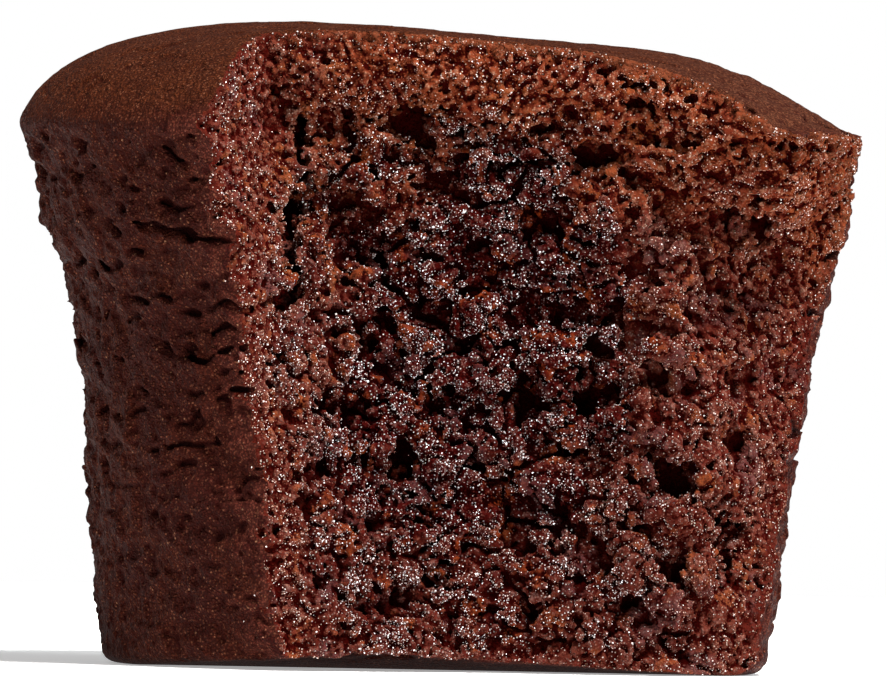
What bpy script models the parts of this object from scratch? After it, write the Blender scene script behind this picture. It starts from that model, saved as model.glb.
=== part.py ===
"""A small round brownie with its front torn off: one solid of dense cake, domed on top, baked in a cup.

The skin is a turned shape, made uneven by formulas. The torn face is a relief on a flat sheet, whose
block is cut away from the skin. +Z is up, the tear faces -Y, and the part stands on the floor.
Lengths below are in millimetres and angles in degrees, and MM turns them into Blender's metres.
"""

import math

import bmesh
import bpy
from mathutils import Vector, noise

MM = 0.001

# The turned cake, before it was torn
RIM_RADIUS = 24.0
RIM_HEIGHT = 30.6
BASE_RADIUS = 18.85
BASE_CORNER = 0.9
WALL_SLOPE = 0.095
WALL_CURVE = 0.0021
LIP_BULGE = 0.6
LIP_REACH = 1.6
CROWN_HEIGHT = 5.5
CROWN_LEAN = 0.064
TURN_STEPS = 84
BASE_RINGS = 5
WALL_RINGS = 15
CROWN_RINGS = 13
CROWN_RING_CROWDING = 1.5

# The crown falls steeply to the rim on one side and in a long slope on the other
CROWN_FLATNESS = (4.0, -1.0)
CROWN_EDGE = (0.95, -0.35)

# The base is bowed up under the torn side
ARCH_HEIGHT = 1.0
ARCH_CENTRE_X = -2.6
ARCH_LEFT_REACH = 15.4
ARCH_RIGHT_REACH = 20.3
ARCH_FRONT_Y = -12.0
ARCH_BACK_Y = -5.0

# The base stands on four low places near its edge, given as turn steps. Its flat middle is a hair higher.
LOW_PLACES = (13, 29, 45, 81)
LOW_PLACE_RADIUS = 18.0
LOW_PLACE_WIDTH = 11.0
BASE_LIFT = 0.2
BASE_HOLLOW = 0.05
BASE_FLAT_RADIUS = 11.0

# Unevenness of the skin
SWELL_SIZE = 9.0
SWELL_HEIGHT = 0.4
DIMPLE_SIZE = 4.2
DIMPLE_DEPTH = 0.6
DIMPLE_TOP = 27.5

# The torn face, as a distance behind the front of the cake
TEAR_Y = -10.6
TEAR_TOP_X = -13.1
TEAR_FOOT_X = -8.3
RIDGE_TOP_WIDTH = 1.9
RIDGE_FOOT_WIDTH = 6.5
RIDGE_TOP_DEPTH = 9.0
RIDGE_FOOT_DEPTH = 5.8
RIDGE_OUTER_SLOPE = 3.0
RIGHT_TURN_X = 13.5
RIGHT_TURN_SLOPE = 0.9
BOWL_DEPTH = 1.5
BOWL_CENTRE = (1.0, 17.5)
BOWL_REACH = (11.0, 13.5)
CRUST_OVERHANG = 1.3
CRUST_RIGHT_GROWTH = 0.7
CRUST_THICKNESS = 3.4
SHEET_STEP = 0.7
SHEET_HALF_WIDTH = 26.0
SHEET_TOP = 39.0
SHEET_FOOT = -2.0
BLOCK_FRONT_Y = -34.0

# Lumps of the torn crumb: size across, height. They lie a little flatter than they are wide.
LUMPS = ((8.0, 1.7), (4.4, 1.0))
LUMP_FLATNESS = 1.3
LUMP_CREASE = 0.75
LUMP_SKEW = 1.0

# Pockets torn or baked into the crumb: centre x, centre z, half width, half height, depth
POCKETS = (
    (-8.7, 26.3, 1.0, 4.8, 2.8),
    (-7.8, 21.6, 1.0, 3.0, 2.2),
    (-5.6, 30.8, 1.2, 1.1, 1.8),
    (-2.0, 30.8, 1.6, 1.2, 2.4),
    (-5.6, 26.6, 1.3, 1.1, 1.6),
    (9.9, 33.2, 1.6, 1.1, 1.6),
    (5.9, 29.6, 1.8, 1.0, 1.8),
    (9.4, 28.8, 1.8, 1.2, 2.0),
    (13.1, 24.2, 2.5, 1.8, 2.4),
    (7.9, 20.8, 1.6, 1.0, 1.7),
    (11.9, 18.6, 1.2, 1.6, 2.0),
    (8.4, 16.8, 1.7, 1.5, 2.6),
    (6.0, 15.6, 2.1, 1.0, 2.0),
    (-0.7, 16.2, 1.7, 1.1, 1.8),
    (-1.4, 11.6, 1.7, 1.0, 2.2),
    (-4.4, 12.4, 1.8, 1.0, 1.7),
    (12.9, 11.4, 1.9, 1.3, 2.6),
    (-1.1, 8.0, 2.2, 1.0, 1.8),
    (5.6, 7.4, 1.4, 1.0, 1.6),
    (12.5, 6.4, 2.0, 1.1, 2.0),
    (-3.2, 3.5, 2.8, 0.9, 1.7),
)

CRUMB_COLOUR = (0.085, 0.026, 0.016, 1.0)
CRUMB_ROUGHNESS = 0.6


def smooth_step(low, high, value):
    share = min(1.0, max(0.0, (value - low) / (high - low)))
    return share * share * (3.0 - 2.0 * share)


def wall_radius(z):
    return BASE_RADIUS + WALL_SLOPE * z + WALL_CURVE * z * z


def turned_profile():
    """Half of the upright section, from the axis over the crown and down the wall to the axis again."""
    crown = []
    for i in range(CROWN_RINGS):
        from_rim = (1.0 - i / CROWN_RINGS) ** CROWN_RING_CROWDING
        crown.append((RIM_RADIUS * (1.0 - from_rim), RIM_HEIGHT))
    wall = []
    for i in range(WALL_RINGS + 1):
        z = RIM_HEIGHT + (BASE_CORNER - RIM_HEIGHT) * i / WALL_RINGS
        lip = LIP_BULGE * math.exp(-((RIM_HEIGHT - z) / LIP_REACH) ** 2)
        wall.append((wall_radius(z) + lip, z))
    foot_radius = wall_radius(BASE_CORNER) - BASE_CORNER
    corner = []
    for i in range(1, 4):
        turn = math.radians(30.0 * i)
        corner.append(
            (foot_radius + BASE_CORNER * math.cos(turn), BASE_CORNER * (1.0 - math.sin(turn)))
        )
    base = [(foot_radius * (1.0 - i / BASE_RINGS), 0.0) for i in range(1, BASE_RINGS + 1)]
    return crown + wall + corner + base


def evaluated_copy(source, name):
    """The object with its modifiers applied, as a new object. The old one is removed."""
    graph = bpy.context.evaluated_depsgraph_get()
    mesh = bpy.data.meshes.new_from_object(source.evaluated_get(graph))
    bpy.data.objects.remove(source)
    copy = bpy.data.objects.new(name, mesh)
    bpy.context.collection.objects.link(copy)
    return copy


def turned_cake():
    points = [(r * MM, 0.0, z * MM) for r, z in turned_profile()]
    edges = [(i, i + 1) for i in range(len(points) - 1)]
    mesh = bpy.data.meshes.new("cake_profile")
    mesh.from_pydata(points, edges, [])
    profile = bpy.data.objects.new("cake_profile", mesh)
    bpy.context.collection.objects.link(profile)
    screw = profile.modifiers.new("Turn", "SCREW")
    screw.steps = screw.render_steps = TURN_STEPS
    screw.use_merge_vertices = True
    screw.merge_threshold = 0.00001
    bpy.context.view_layer.update()
    return evaluated_copy(profile, "brownie")


def crown_rise(x, y):
    """Height of the crown above the rim, over the point x, y."""
    radius = math.hypot(x, y)
    share = min(1.0, radius / RIM_RADIUS)
    side = x / max(radius, 0.001)
    flatness = CROWN_FLATNESS[0] - CROWN_FLATNESS[1] * side
    edge = CROWN_EDGE[0] - CROWN_EDGE[1] * side
    return (CROWN_HEIGHT - CROWN_LEAN * x) * (1.0 - share**flatness) ** edge


def base_rise(x, y):
    """How far the bowed base stands off the floor at the point x, y."""
    reach = ARCH_LEFT_REACH if x < ARCH_CENTRE_X else ARCH_RIGHT_REACH
    across = max(0.0, 1.0 - abs(x - ARCH_CENTRE_X) / reach)
    arch = ARCH_HEIGHT * across * smooth_step(ARCH_BACK_Y, ARCH_FRONT_Y, y)
    turn = math.degrees(math.atan2(y, x)) % 360.0
    off_place = min(abs(turn - place * 360.0 / TURN_STEPS) for place in LOW_PLACES)
    outside = smooth_step(BASE_FLAT_RADIUS, LOW_PLACE_RADIUS, math.hypot(x, y))
    lift = BASE_LIFT * outside * min(1.0, off_place / LOW_PLACE_WIDTH)
    return arch + lift + BASE_HOLLOW * (1.0 - outside)


def skin_relief(point):
    """Outward swell of the skin, less the dimples that bubbles left against the cup."""
    swell = SWELL_HEIGHT * noise.noise(point / SWELL_SIZE)
    dimple = max(0.0, noise.noise(point / DIMPLE_SIZE + Vector((7.3, 1.9, 4.1))) - 0.12)
    below_rim = 1.0 - smooth_step(DIMPLE_TOP - 3.0, DIMPLE_TOP, point.z)
    return swell - DIMPLE_DEPTH * dimple * below_rim


def make_skin_uneven(cake):
    for vertex in cake.data.vertices:
        point = vertex.co / MM
        x, y, z = point
        radius = math.hypot(x, y)
        at_top = z > RIM_HEIGHT - 0.01 and radius < RIM_RADIUS
        at_base = z < BASE_CORNER * 0.9
        if at_top:
            lifted = Vector((x, y, z + crown_rise(x, y)))
            lifted.z += 0.5 * SWELL_HEIGHT * noise.noise(lifted / SWELL_SIZE)
            vertex.co = lifted * MM
            continue
        height_share = smooth_step(0.0, 5.0, z)
        relief = skin_relief(point) * height_share
        outward = Vector((x, y, 0.0)) / max(radius, 0.001)
        moved = point + (outward * relief if not at_base else Vector())
        moved.z += base_rise(x, y) * (1.0 - smooth_step(0.0, 8.0, z))
        vertex.co = moved * MM


def tear_edge_x(z):
    """Where the tear meets the left side of the wall, seen from the front."""
    return TEAR_FOOT_X + (TEAR_TOP_X - TEAR_FOOT_X) * z / RIM_HEIGHT


def tear_ground(x, z):
    """The broad form of the torn face, as its y at the point x, z."""
    height = min(1.0, max(0.0, z / RIM_HEIGHT))
    width = RIDGE_FOOT_WIDTH + (RIDGE_TOP_WIDTH - RIDGE_FOOT_WIDTH) * height
    depth = RIDGE_FOOT_DEPTH + (RIDGE_TOP_DEPTH - RIDGE_FOOT_DEPTH) * height
    from_edge = x - tear_edge_x(z)
    ridge = depth * (1.0 - smooth_step(-0.4 * width, 2.2 * width, from_edge))
    ridge += RIDGE_OUTER_SLOPE * max(0.0, -from_edge)
    retreat = RIGHT_TURN_SLOPE * max(0.0, x - RIGHT_TURN_X)
    bowl_x = (x - BOWL_CENTRE[0]) / BOWL_REACH[0]
    bowl_z = (z - BOWL_CENTRE[1]) / BOWL_REACH[1]
    bowl = BOWL_DEPTH * (1.0 - smooth_step(0.35, 1.1, bowl_x * bowl_x + bowl_z * bowl_z))
    crust_foot = RIM_HEIGHT + crown_rise(x, TEAR_Y) - CRUST_THICKNESS
    overhang = CRUST_OVERHANG + CRUST_RIGHT_GROWTH * max(0.0, x - RIGHT_TURN_X)
    crust = overhang * smooth_step(crust_foot - 2.2, crust_foot + 1.2, z)
    return TEAR_Y - ridge + retreat + bowl - crust


def lump_height(x, z):
    """Height of the torn lumps, round on top and creased between, above the broad form."""
    drift = Vector((x / 4.0, 3.7, z / 4.0))
    skewed_x = x + LUMP_SKEW * noise.noise(drift)
    skewed_z = z + LUMP_SKEW * noise.noise(drift + Vector((9.1, 2.2, 5.3)))
    total = 0.0
    for layer, (size, height) in enumerate(LUMPS):
        at = Vector((skewed_x / size, 2.3 + 5.1 * layer, LUMP_FLATNESS * skewed_z / size))
        nearest, next_nearest = noise.voronoi(at)[0][:2]
        rise = smooth_step(0.0, LUMP_CREASE, next_nearest - nearest)
        total += height * (rise * (1.0 - 0.5 * nearest) - 0.45)
    return total


def pocket_depth(x, z):
    deepest = 0.0
    wander = 0.55 * noise.noise(Vector((x / 1.3, 8.8, z / 1.3)))
    for centre_x, centre_z, half_width, half_height, depth in POCKETS:
        across = (x - centre_x) / half_width
        along = (z - centre_z) / half_height
        reach = math.hypot(across, along) + wander
        deepest = max(deepest, depth * (1.0 - smooth_step(0.45, 1.35, reach)))
    return deepest


def tear_y(x, z):
    face = tear_ground(x, z) - lump_height(x, z) + pocket_depth(x, z)
    return max(face, BLOCK_FRONT_Y + 2.0)


def torn_block():
    """All that was torn away: a block whose back is the relief of the torn face."""
    shape = bmesh.new()
    columns = round(2.0 * SHEET_HALF_WIDTH / SHEET_STEP)
    rows = round((SHEET_TOP - SHEET_FOOT) / SHEET_STEP)
    bmesh.ops.create_grid(shape, x_segments=columns, y_segments=rows, size=1.0)
    middle = (SHEET_TOP + SHEET_FOOT) / 2.0
    half_height = (SHEET_TOP - SHEET_FOOT) / 2.0
    for vertex in shape.verts:
        x = vertex.co.x * SHEET_HALF_WIDTH
        z = middle + vertex.co.y * half_height
        vertex.co = Vector((x, tear_y(x, z), z))
    grown = bmesh.ops.extrude_face_region(shape, geom=shape.faces[:])
    for item in grown["geom"]:
        if isinstance(item, bmesh.types.BMVert):
            item.co.y = BLOCK_FRONT_Y
    bmesh.ops.recalc_face_normals(shape, faces=shape.faces[:])
    bmesh.ops.scale(shape, vec=(MM, MM, MM), verts=shape.verts[:])
    mesh = bpy.data.meshes.new("torn_block")
    shape.to_mesh(mesh)
    shape.free()
    block = bpy.data.objects.new("torn_block", mesh)
    block.hide_render = True
    block.display_type = "WIRE"
    return block


def keep_largest(cake):
    """Drops any scrap of crumb that the cut left loose."""
    shape = bmesh.new()
    shape.from_mesh(cake.data)
    left = set(shape.verts)
    bodies = []
    while left:
        stack = [left.pop()]
        body = set(stack)
        while stack:
            for edge in stack.pop().link_edges:
                for vertex in edge.verts:
                    if vertex in left:
                        left.remove(vertex)
                        body.add(vertex)
                        stack.append(vertex)
        bodies.append(body)
    bodies.sort(key=len)
    scraps = [vertex for body in bodies[:-1] for vertex in body]
    bmesh.ops.delete(shape, geom=scraps, context="VERTS")
    shape.to_mesh(cake.data)
    shape.free()


def tear_cake(cake, block):
    cut = cake.modifiers.new("Tear", "BOOLEAN")
    cut.operation = "DIFFERENCE"
    cut.solver = "EXACT"
    cut.object = block
    bpy.context.view_layer.update()
    torn = evaluated_copy(cake, "brownie")
    torn.name = "brownie"
    keep_largest(torn)
    return torn


def centre_on_floor(cake):
    """Moves the mesh so that the middle of its box is over the origin, and its base on the floor."""
    low = [min(v.co[axis] for v in cake.data.vertices) for axis in range(3)]
    high = [max(v.co[axis] for v in cake.data.vertices) for axis in range(3)]
    shift = Vector((-(low[0] + high[0]) / 2.0, -(low[1] + high[1]) / 2.0, -low[2]))
    for vertex in cake.data.vertices:
        vertex.co += shift
    print("moved by", [round(value / MM, 3) for value in shift])


def crumb_material():
    material = bpy.data.materials.new("brownie_crumb")
    material.use_nodes = True
    shader = material.node_tree.nodes["Principled BSDF"]
    shader.inputs["Base Color"].default_value = CRUMB_COLOUR
    shader.inputs["Roughness"].default_value = CRUMB_ROUGHNESS
    shader.inputs["Metallic"].default_value = 0.0
    return material


def main():
    for old in list(bpy.data.objects):
        bpy.data.objects.remove(old)
    parts = bpy.data.collections.new("brownie_bite")
    cutters = bpy.data.collections.new("cutters")
    bpy.context.scene.collection.children.link(parts)
    bpy.context.scene.collection.children.link(cutters)

    cake = turned_cake()
    make_skin_uneven(cake)
    block = torn_block()
    cutters.objects.link(block)
    torn = tear_cake(cake, block)
    bpy.context.collection.objects.unlink(torn)
    parts.objects.link(torn)
    centre_on_floor(torn)
    torn.data.materials.clear()
    torn.data.materials.append(crumb_material())
    torn.data.shade_smooth()
    torn.data.set_sharp_from_angle(angle=math.radians(50.0))


main()
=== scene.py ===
"""The looks of a small round brownie with its front torn away: baked skin, dry crumb and moist crumb.

Lengths in the sections are in millimetres, measured from the cake's own upright axis, and MM and
CAKE_SHIFT take them into the frame.
"""

import math

import bmesh
import bpy
import numpy as np
import openvdb
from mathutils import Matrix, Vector, noise


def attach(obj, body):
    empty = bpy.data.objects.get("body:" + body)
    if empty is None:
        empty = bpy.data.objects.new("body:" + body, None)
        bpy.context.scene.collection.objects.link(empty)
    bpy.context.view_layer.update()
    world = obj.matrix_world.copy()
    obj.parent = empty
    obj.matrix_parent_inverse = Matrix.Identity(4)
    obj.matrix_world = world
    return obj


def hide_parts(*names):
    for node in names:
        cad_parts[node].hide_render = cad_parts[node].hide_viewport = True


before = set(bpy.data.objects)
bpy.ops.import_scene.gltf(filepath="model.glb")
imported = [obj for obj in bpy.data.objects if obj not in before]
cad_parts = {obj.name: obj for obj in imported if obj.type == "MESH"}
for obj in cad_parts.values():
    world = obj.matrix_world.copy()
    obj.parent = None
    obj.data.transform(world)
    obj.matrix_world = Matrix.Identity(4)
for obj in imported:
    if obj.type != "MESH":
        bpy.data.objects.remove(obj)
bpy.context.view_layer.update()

# The whole cake, before it was torn. It is chocolate batter baked in a round cup, so its wall flares and
# its crown is domed. The profile is spun round the axis, made uneven, and filled as a field of distances
# in small cubes, so that crumb can be torn out of it with caves and overhangs.
MM = 0.001
CAKE_SHIFT = Vector((0.015, -2.043, 0.0))
CUBE = 0.15
FIELD_REACH = 10
FIELD_MARGIN = 6
SKIN_ROUNDING = 3

RIM_RADIUS = 24.0
RIM_HEIGHT = 30.6
BASE_CORNER = 0.9
BASE_RADIUS = 18.85
WALL_SLOPE = 0.095
WALL_CURVE = 0.0021
LIP_BULGE = 0.6
LIP_REACH = 1.6
CROWN_HEIGHT = 5.5
CROWN_LEAN = 0.064
# How flat the crown's top is and how sharply it falls to the rim, and what the far right adds to each
CROWN_FLATNESS = (4.0, 1.0)
CROWN_EDGE = (1.05, 0.45)
ARCH_HEIGHT = 1.0
ARCH_TOP_Z = 8.0
ARCH_CENTRE_X = -2.6
ARCH_LEFT_REACH = 15.4
ARCH_RIGHT_REACH = 20.3
ARCH_FRONT_Y = -12.0
ARCH_BACK_Y = -5.0
SWELL_SIZE = 9.0
SWELL_HEIGHT = 0.4
SWELL_FOOT_Z = 5.0
DENT_DEPTH = 0.9
DENT_FOOT = 8.0
DENT_DEEPEST = 21.5
DENT_TOP = 25.0
# Where round the wall the dent and the swells begin and are full, 1 being the far left or right
FLANK = (0.2, 0.9)
# Swells of the right of the wall: height, reach up and down, how far out
RIGHT_SWELLS = ((26.0, 2.6, 0.4), (14.5, 2.6, 0.45))
CROWN_RINGS = 30
WALL_RINGS = 40
CORNER_RINGS = 6
BASE_RINGS = 20
RIM_CROWDING = 1.5
STEPS_ROUND = 180


def smooth_step(low, high, value):
    share = np.clip((value - low) / (high - low), 0.0, 1.0)
    return share * share * (3.0 - 2.0 * share)


def rising(least, low, high, value):
    """A share that goes smoothly from the least at low to 1 at high."""
    return least + (1.0 - least) * smooth_step(low, high, value)


def wall_radius(z):
    return BASE_RADIUS + WALL_SLOPE * z + WALL_CURVE * z * z


def crown_rise(x, y):
    """Height of the crown above the rim, over the point x, y."""
    radius = np.maximum(np.hypot(x, y), 0.001)
    share = np.minimum(1.0, radius / RIM_RADIUS)
    side = x / radius
    flatness = CROWN_FLATNESS[0] + CROWN_FLATNESS[1] * side
    edge = CROWN_EDGE[0] + CROWN_EDGE[1] * side
    return (CROWN_HEIGHT - CROWN_LEAN * x) * (1.0 - share**flatness) ** edge


def base_rise(x, y):
    """How far the bowed base stands off the floor at the point x, y."""
    reach = ARCH_LEFT_REACH if x < ARCH_CENTRE_X else ARCH_RIGHT_REACH
    across = max(0.0, 1.0 - abs(x - ARCH_CENTRE_X) / reach)
    return ARCH_HEIGHT * across * float(smooth_step(ARCH_BACK_Y, ARCH_FRONT_Y, y))


def left_dent(side, z):
    """How far the left of the wall draws in below its shoulder, side being -1 at the far left."""
    lower = smooth_step(DENT_FOOT, DENT_DEEPEST, z)
    upper = 1.0 - smooth_step(DENT_DEEPEST, DENT_TOP, z)
    return DENT_DEPTH * float(lower * upper * smooth_step(*FLANK, -side))


def right_swell(side, z):
    """How far the right of the wall stands out, side being 1 at the far right."""
    out = sum(reach * math.exp(-((z - height) / spread) ** 2) for height, spread, reach in RIGHT_SWELLS)
    return out * float(smooth_step(*FLANK, side))


def spun_cake():
    """The cake as one closed mesh, in millimetres."""
    cake = bmesh.new()
    profile = []
    for i in range(CROWN_RINGS):
        profile.append((RIM_RADIUS * (1.0 - (1.0 - i / CROWN_RINGS) ** RIM_CROWDING), RIM_HEIGHT))
    for i in range(WALL_RINGS + 1):
        z = RIM_HEIGHT + (BASE_CORNER - RIM_HEIGHT) * i / WALL_RINGS
        lip = LIP_BULGE * math.exp(-((RIM_HEIGHT - z) / LIP_REACH) ** 2)
        profile.append((wall_radius(z) + lip, z))
    foot = wall_radius(BASE_CORNER) - BASE_CORNER
    for i in range(1, CORNER_RINGS + 1):
        turn = math.radians(90.0 * i / CORNER_RINGS)
        profile.append((foot + BASE_CORNER * math.cos(turn), BASE_CORNER * (1.0 - math.sin(turn))))
    for i in range(1, BASE_RINGS + 1):
        profile.append((foot * (1.0 - i / BASE_RINGS), 0.0))
    points = [cake.verts.new((radius, 0.0, z)) for radius, z in profile]
    edges = [cake.edges.new(pair) for pair in zip(points, points[1:])]
    bmesh.ops.spin(
        cake,
        geom=points + edges,
        cent=(0, 0, 0),
        axis=(0, 0, 1),
        angle=math.tau,
        steps=STEPS_ROUND,
        use_merge=True,
    )
    bmesh.ops.remove_doubles(cake, verts=cake.verts[:], dist=0.001)
    for point in cake.verts:
        x, y, z = point.co
        radius = math.hypot(x, y)
        if z > RIM_HEIGHT - 0.01 and radius < RIM_RADIUS:
            point.co.z += float(crown_rise(x, y))
            point.co.z += 0.5 * SWELL_HEIGHT * noise.noise(point.co / SWELL_SIZE)
            continue
        if z > BASE_CORNER * 0.9:
            swell = SWELL_HEIGHT * noise.noise(point.co / SWELL_SIZE)
            swell *= float(smooth_step(0.0, SWELL_FOOT_Z, z))
            swell += right_swell(x / radius, z) - left_dent(x / radius, z)
            point.co.x += x / radius * swell
            point.co.y += y / radius * swell
        point.co.z += base_rise(x, y) * (1.0 - float(smooth_step(0.0, ARCH_TOP_Z, z)))
    bmesh.ops.triangulate(cake, faces=cake.faces[:])
    bmesh.ops.recalc_face_normals(cake, faces=cake.faces[:])
    return cake


def points_and_corners(shape):
    shape.verts.ensure_lookup_table()
    points = np.array([point.co for point in shape.verts], np.float32)
    corners = np.array([[point.index for point in face.verts] for face in shape.faces], np.uint32)
    return points, corners


cake = spun_cake()
cake_points, cake_corners = points_and_corners(cake)
cake.free()
level = openvdb.FloatGrid.createLevelSetFromPolygons(
    cake_points,
    triangles=cake_corners,
    transform=openvdb.createLinearTransform(CUBE),
    halfWidth=FIELD_REACH,
)
first_cube = np.floor(cake_points.min(0) / CUBE).astype(int) - FIELD_MARGIN
last_cube = np.ceil(cake_points.max(0) / CUBE).astype(int) + FIELD_MARGIN
field_size = last_cube - first_cube + 1
skin = np.zeros(field_size, np.float32)
level.copyToArray(skin, ijk=tuple(int(cube) for cube in first_cube))
axis_x, axis_y, axis_z = [(np.arange(field_size[i]) + first_cube[i]) * CUBE for i in range(3)]


def around(field, reach):
    """The field's mean over a box of that many cubes each way."""
    total = field
    for axis in range(3):
        padding = [(0, 0)] * 3
        padding[axis] = (reach + 1, reach)
        running = np.cumsum(np.pad(total, padding, mode="edge"), axis=axis, dtype=np.float64)
        width = 2 * reach + 1
        upper = np.take(running, range(width, running.shape[axis]), axis=axis)
        lower = np.take(running, range(running.shape[axis] - width), axis=axis)
        total = ((upper - lower) / width).astype(np.float32)
    return total


skin = around(skin, SKIN_ROUNDING)

# The tear. It runs from crown to base and leaves a ridge of dry crumb beside the wall on the left, a crust
# that overhangs at the top and a hollowed middle. This broad sheet gives its form, as the y that the cake
# reaches over each x and z, and its left border wanders as torn skin does.
TEAR_Y = -10.6
TEAR_TOP_X = -13.1
TEAR_FOOT_X = -8.3
RIDGE_TOP_WIDTH = 1.9
RIDGE_FOOT_WIDTH = 6.5
RIDGE_TOP_DEPTH = 9.0
RIDGE_FOOT_DEPTH = 5.8
RIDGE_FADE = (-0.4, 2.2)
RIDGE_OUTER_SLOPE = 3.0
# How the border of the tear wanders: size of the waves and how far they reach
RAGGED_BORDER = ((1.7, 0.9), (0.8, 0.6), (0.4, 0.35))
RIGHT_TURN_X = 13.5
RIGHT_TURN_SLOPE = 1.15
BOWL_DEPTH = 1.5
BOWL_CENTRE = (1.0, 17.5)
BOWL_REACH = (11.0, 13.5)
BOWL_RIM = (0.35, 1.1)
CRUST_OVERHANG = 1.3
CRUST_THICKNESS = 3.4
CRUST_UNDERSIDE = (-2.2, 1.2)
PLATE_OVERHANG = 2.4
PLATE_SIDE = (14.0, 19.0)
PLATE_FOOT_Z = RIM_HEIGHT - 1.0
PLATE_TOP_Z = RIM_HEIGHT + 0.2
PEEL_DEPTH = 1.6
PEEL_FOOT_Z = 19.0
PEEL_TOP_Z = 28.0
LATTICE = 32


def soft_noise(at, seed):
    """Smooth noise from -1 to 1 at rows of points, with waves about two units long."""
    lattice = np.random.default_rng(seed).random((LATTICE,) * 3, np.float32) * 2.0 - 1.0
    corner = np.floor(at).astype(np.int32)
    share = (at - corner).astype(np.float32)
    share = share * share * (3.0 - 2.0 * share)
    total = np.zeros(len(at), np.float32)
    for step in np.ndindex(2, 2, 2):
        weight = np.prod(np.where(step, share, 1.0 - share), axis=1)
        index = (corner + step) % LATTICE
        total += weight * lattice[index[:, 0], index[:, 1], index[:, 2]]
    return total


def tear_sheet():
    """The broad form of the torn face, as its y over the field's x and z."""
    x, z = np.meshgrid(axis_x, axis_z, indexing="ij")
    height = np.clip(z / RIM_HEIGHT, 0.0, 1.0)
    width = RIDGE_FOOT_WIDTH + (RIDGE_TOP_WIDTH - RIDGE_FOOT_WIDTH) * height
    depth = RIDGE_FOOT_DEPTH + (RIDGE_TOP_DEPTH - RIDGE_FOOT_DEPTH) * height
    from_edge = x - (TEAR_FOOT_X + (TEAR_TOP_X - TEAR_FOOT_X) * z / RIM_HEIGHT)
    ridge = depth * (1.0 - smooth_step(RIDGE_FADE[0] * width, RIDGE_FADE[1] * width, from_edge))
    flat = np.stack([0.5 * x, np.zeros_like(x), z], axis=-1).reshape(-1, 3)
    for layer, (size, reach) in enumerate(RAGGED_BORDER):
        from_edge = from_edge + reach * soft_noise(flat / size, 10 + layer).reshape(x.shape)
    ridge = ridge + RIDGE_OUTER_SLOPE * np.maximum(0.0, -from_edge)
    retreat = RIGHT_TURN_SLOPE * np.maximum(0.0, x - RIGHT_TURN_X)
    peel = PEEL_DEPTH - np.sqrt(np.maximum(0.0, wall_radius(z) ** 2 - x * x)) - TEAR_Y
    below_peel = RIM_HEIGHT * (1.0 - smooth_step(PEEL_FOOT_Z, PEEL_TOP_Z, z))
    retreat = np.minimum(retreat, np.maximum(0.0, peel) + below_peel)
    bowl = ((x - BOWL_CENTRE[0]) / BOWL_REACH[0]) ** 2 + ((z - BOWL_CENTRE[1]) / BOWL_REACH[1]) ** 2
    bowl = BOWL_DEPTH * (1.0 - smooth_step(*BOWL_RIM, bowl))
    crust_foot = RIM_HEIGHT + crown_rise(x, np.full_like(x, TEAR_Y)) - CRUST_THICKNESS
    overhang = CRUST_OVERHANG * (1.0 - smooth_step(RIGHT_TURN_X, RIM_RADIUS, x))
    crust = overhang * smooth_step(crust_foot + CRUST_UNDERSIDE[0], crust_foot + CRUST_UNDERSIDE[1], z)
    plate = PLATE_OVERHANG * smooth_step(*PLATE_SIDE, x) * smooth_step(PLATE_FOOT_Z, PLATE_TOP_Z, z)
    return TEAR_Y - ridge + retreat + bowl - crust - plate


sheet = tear_sheet()
slope_x, slope_z = np.gradient(sheet, CUBE)
steepness = np.sqrt(1.0 + slope_x**2 + slope_z**2).astype(np.float32)
crumb = sheet.astype(np.float32)[:, None, :] - axis_y.astype(np.float32)[None, :, None]
crumb /= steepness[:, None, :]

# The relief of the baked skin. The side that set against the cup has lumps and low ledges with irregular
# shallow pits, and short dark slits in its upper part where batter didn't reach the cup. The crown is finer.
# Lumps and ledges: size of the waves, height
LUMPS = ((2.6, 0.18), (1.1, 0.12), (0.5, 0.10), (0.3, 0.07))
LEDGES = ((2.3, 0.14), (1.2, 0.11))
LEDGE_EDGE = 0.09
# Pits: size of the waves, depth, and where in the waves a pit begins and is deepest
PITS = ((1.5, 0.2, 0.1, 0.7), (0.8, 0.12, 0.14, 0.7), (0.42, 0.12, 0.25, 0.7))
SLIT_SIZE = (1.7, 1.7, 0.42)
SLIT_DEPTH = 0.7
SLIT_EDGE = (0.42, 0.6)
SLIT_HEIGHTS = (6.0, 17.0)
SKIN_DRIFT_SIZE = 1.3
SKIN_DRIFT = 0.5
SLIT_DRIFT = 0.7
SKIN_SQUAT = 1.35
CROWN_CALM = 0.16
CROWN_FROM_Z = RIM_HEIGHT - 1.4
CROWN_FULL_Z = RIM_HEIGHT + 0.3
RIGHT_CALM = 0.42
RIGHT_SIDE = (6.0, 17.0)
FOOT_HEIGHTS = (0.1, 1.4)
DEEPEST_PIT = 0.75


def places(cubes):
    """Places in millimetres of rows of cube numbers."""
    return ((cubes + first_cube) * CUBE).astype(np.float32)


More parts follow.
